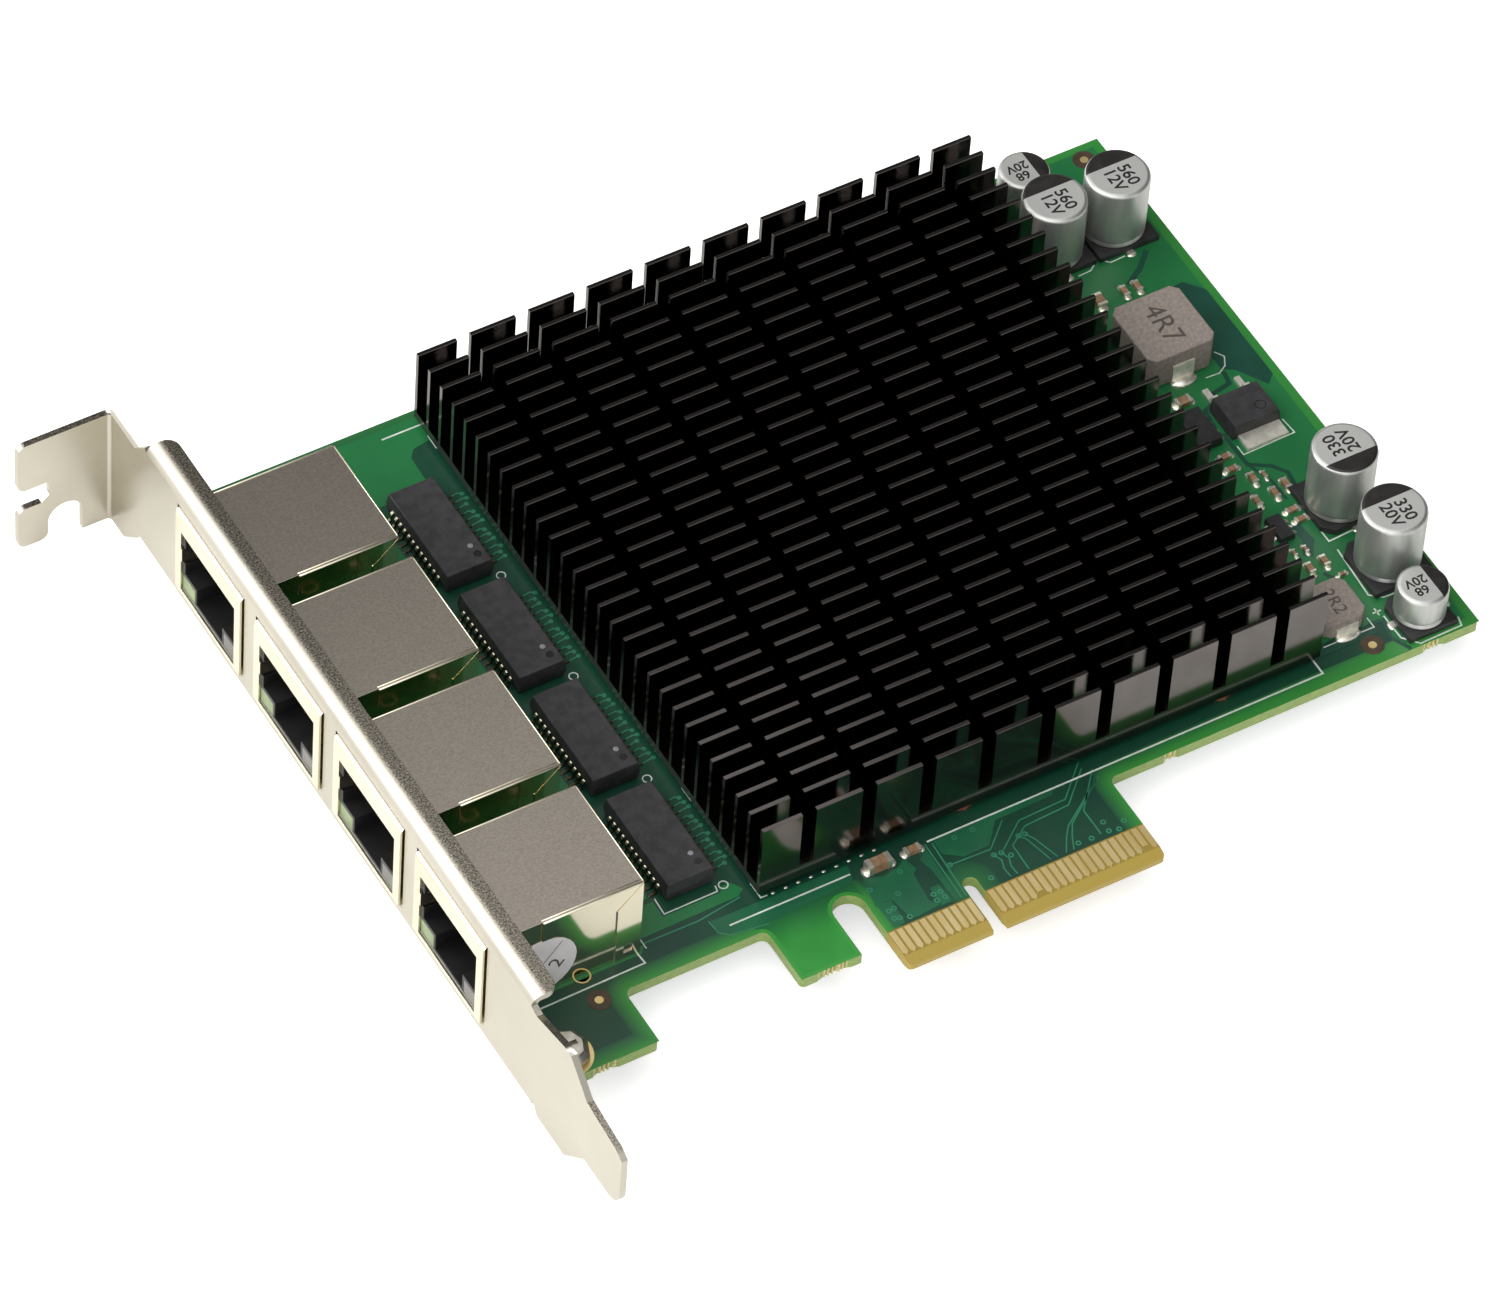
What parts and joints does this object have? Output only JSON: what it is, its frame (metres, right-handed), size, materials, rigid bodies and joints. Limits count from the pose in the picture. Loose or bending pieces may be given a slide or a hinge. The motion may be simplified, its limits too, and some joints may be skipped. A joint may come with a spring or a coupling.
{
  "type": "network interface card",
  "caption": "Expansion card with a folded slot bracket, shielded network jacks in its windows, a large fin heat sink and a notched gold card edge.",
  "frame": {"origin": "middle of the key notch at the line of the finger tips, on the component face of the board", "axes": "+X along the card away from the bracket, +Y up the card away from its contact edge, +Z out of the component face"},
  "size_m": [0.1427, 0.1207, 0.0216],
  "materials": {
    "board_laminate": "glossy solder mask over laminate",
    "gold_pads": "plated gold",
    "bracket_steel": "satin nickel plate",
    "screw_steel": "bright zinc plate",
    "shield_steel": "satin tin plate",
    "housing_plastic": "matte moulded",
    "contact_gold": "plated gold",
    "green_guide": "clear, green tinted",
    "clear_guide": "clear",
    "epoxy_black": "matte moulded epoxy",
    "tinned_leads": "tin plate",
    "sink_metal": "black anodised",
    "washer_fibre": "vulcanised fibre",
    "thermal_pad": "soft pad",
    "can_aluminium": "satin drawn can",
    "base_plastic": "matte moulded",
    "inductor_powder": "pressed powder",
    "chip_ceramic": "sintered",
    "sticker_paper": "coated paper"
  },
  "bodies": {
    "root": {"activity_light_guides": "green_guide", "bracket_screws": "screw_steel", "capacitor_base_1": "base_plastic", "capacitor_base_2": "base_plastic", "capacitor_base_3": "base_plastic", "capacitor_base_4": "base_plastic", "capacitor_base_5": "base_plastic", "capacitor_base_6": "base_plastic", "capacitor_can_1": "can_aluminium", "capacitor_can_2": "can_aluminium", "capacitor_can_3": "can_aluminium", "capacitor_can_4": "can_aluminium", "capacitor_can_5": "can_aluminium", "capacitor_can_6": "can_aluminium", "chip_capacitors": "chip_ceramic", "circuit_board": "board_laminate", "driver_chip": "epoxy_black", "edge_contacts": "gold_pads", "heat_sink": "sink_metal", "heat_sink_screws": "screw_steel", "heat_sink_spacers": "washer_fibre", "inductor_body_1": "inductor_powder", "inductor_body_2": "inductor_powder", "inductor_terminals": "tinned_leads", "inspection_sticker": "sticker_paper", "jack_contacts_1": "contact_gold", "jack_contacts_2": "contact_gold", "jack_contacts_3": "contact_gold", "jack_contacts_4": "contact_gold", "jack_housing_1": "housing_plastic", "jack_housing_2": "housing_plastic", "jack_housing_3": "housing_plastic", "jack_housing_4": "housing_plastic", "jack_shield_1": "shield_steel", "jack_shield_2": "shield_steel", "jack_shield_3": "shield_steel", "jack_shield_4": "shield_steel", "line_chip_1": "epoxy_black", "line_chip_2": "epoxy_black", "line_chip_3": "epoxy_black", "line_chip_4": "epoxy_black", "line_chip_leads": "tinned_leads", "link_light_guides": "clear_guide", "main_controller": "epoxy_black", "mounting_bracket": "bracket_steel", "power_switch_body": "epoxy_black", "power_switch_tab": "tinned_leads", "regulator_chip": "epoxy_black", "small_chip_leads": "tinned_leads", "thermal_pads": "thermal_pad", "transformer_body_1": "epoxy_black", "transformer_body_2": "epoxy_black", "transformer_body_3": "epoxy_black", "transformer_body_4": "epoxy_black", "transformer_leads_1": "tinned_leads", "transformer_leads_2": "tinned_leads", "transformer_leads_3": "tinned_leads", "transformer_leads_4": "tinned_leads"}
  },
  "joints": []
}
